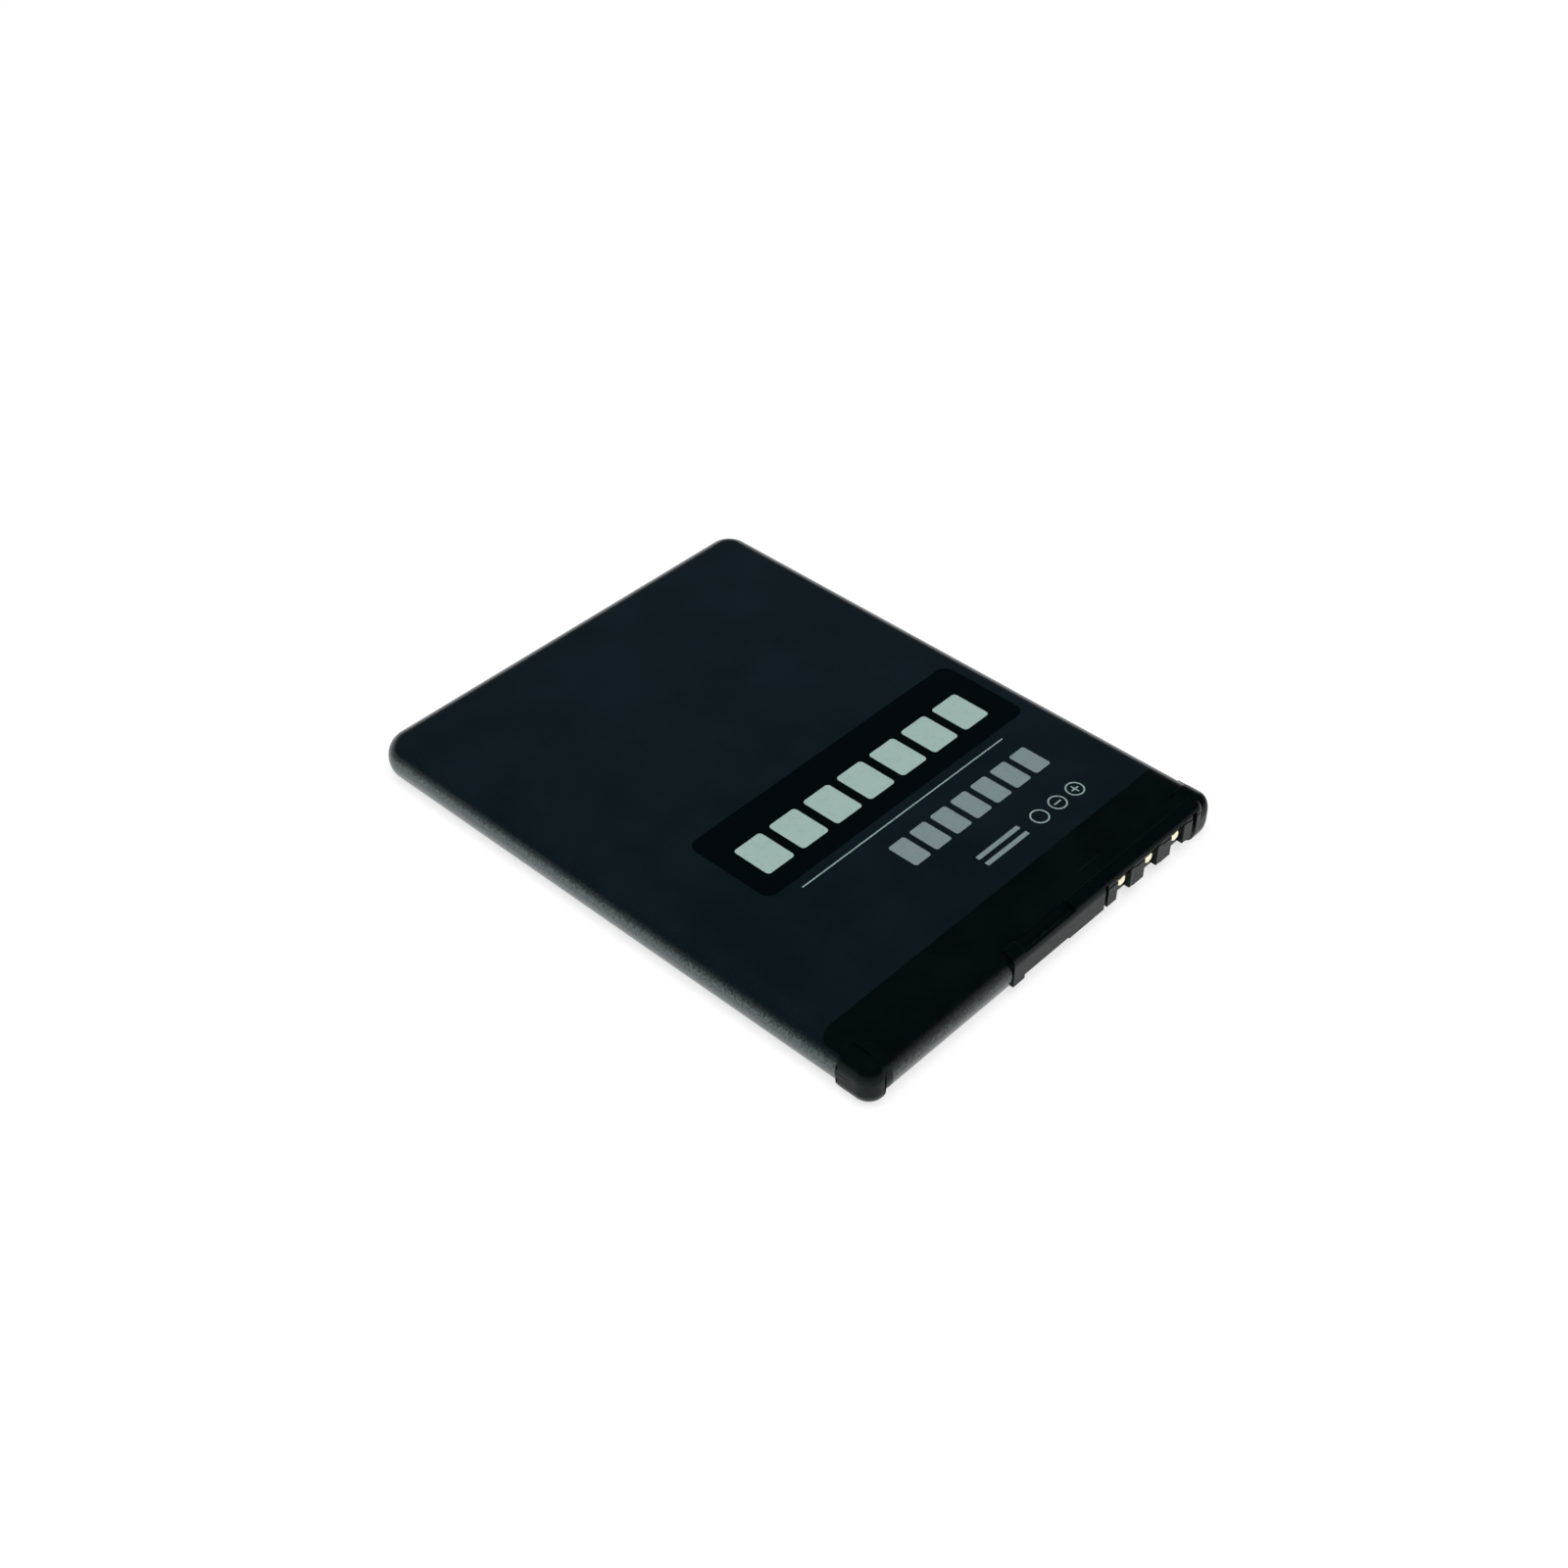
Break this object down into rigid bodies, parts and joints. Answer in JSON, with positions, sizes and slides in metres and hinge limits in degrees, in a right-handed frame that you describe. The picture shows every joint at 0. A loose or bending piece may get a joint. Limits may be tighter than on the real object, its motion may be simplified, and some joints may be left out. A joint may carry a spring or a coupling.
{
  "type": "mobile phone battery",
  "caption": "Flat removable phone battery: sealed cell in a printed film, with a moulded end cap that holds gold contacts in open pockets and a finger recess.",
  "frame": {"origin": "centre of the footprint, on the surface that the pack lies on", "axes": "+X across the pack, +Y along it to the contact end, +Z out of the printed face"},
  "size_m": [0.043, 0.0558, 0.0042],
  "materials": {
    "label_film": "satin printed film",
    "band_film": "satin black film",
    "cap_plastic": "moulded, fine matte",
    "gold_plate": "gold plated",
    "cell_aluminium": "drawn, satin",
    "nickel_strip": "rolled, satin",
    "board": "solder mask over glass fibre board",
    "chip_body": "moulded epoxy",
    "resistor_body": "printed ceramic",
    "capacitor_body": "bare ceramic",
    "gasket": "moulded",
    "fibre_sheet": "pressed fibre paper",
    "tape": "double-sided tape",
    "cutoff_case": "moulded case"
  },
  "bodies": {
    "root": {"label_wrap": "label_film", "end_film": "band_film", "end_cap": "cap_plastic", "contact_positive": "gold_plate", "contact_data": "gold_plate", "contact_negative": "gold_plate", "cell_can": "cell_aluminium", "terminal_gasket": "gasket", "terminal_rivet": "nickel_strip", "fill_plug": "cell_aluminium", "lid_insulator": "fibre_sheet", "weld_tab": "nickel_strip", "positive_strip": "nickel_strip", "rivet_strip": "nickel_strip", "thermal_cutoff": "cutoff_case", "cutoff_strip": "nickel_strip", "circuit_board": "board", "protection_chip": "chip_body", "switch_chip": "chip_body", "supply_resistor": "resistor_body", "sense_resistor": "resistor_body", "coding_resistor": "resistor_body", "filter_capacitor": "capacitor_body", "gate_capacitor": "capacitor_body", "tail_cover": "cap_plastic", "tail_tape": "tape", "cap_tape": "tape"}
  },
  "joints": []
}
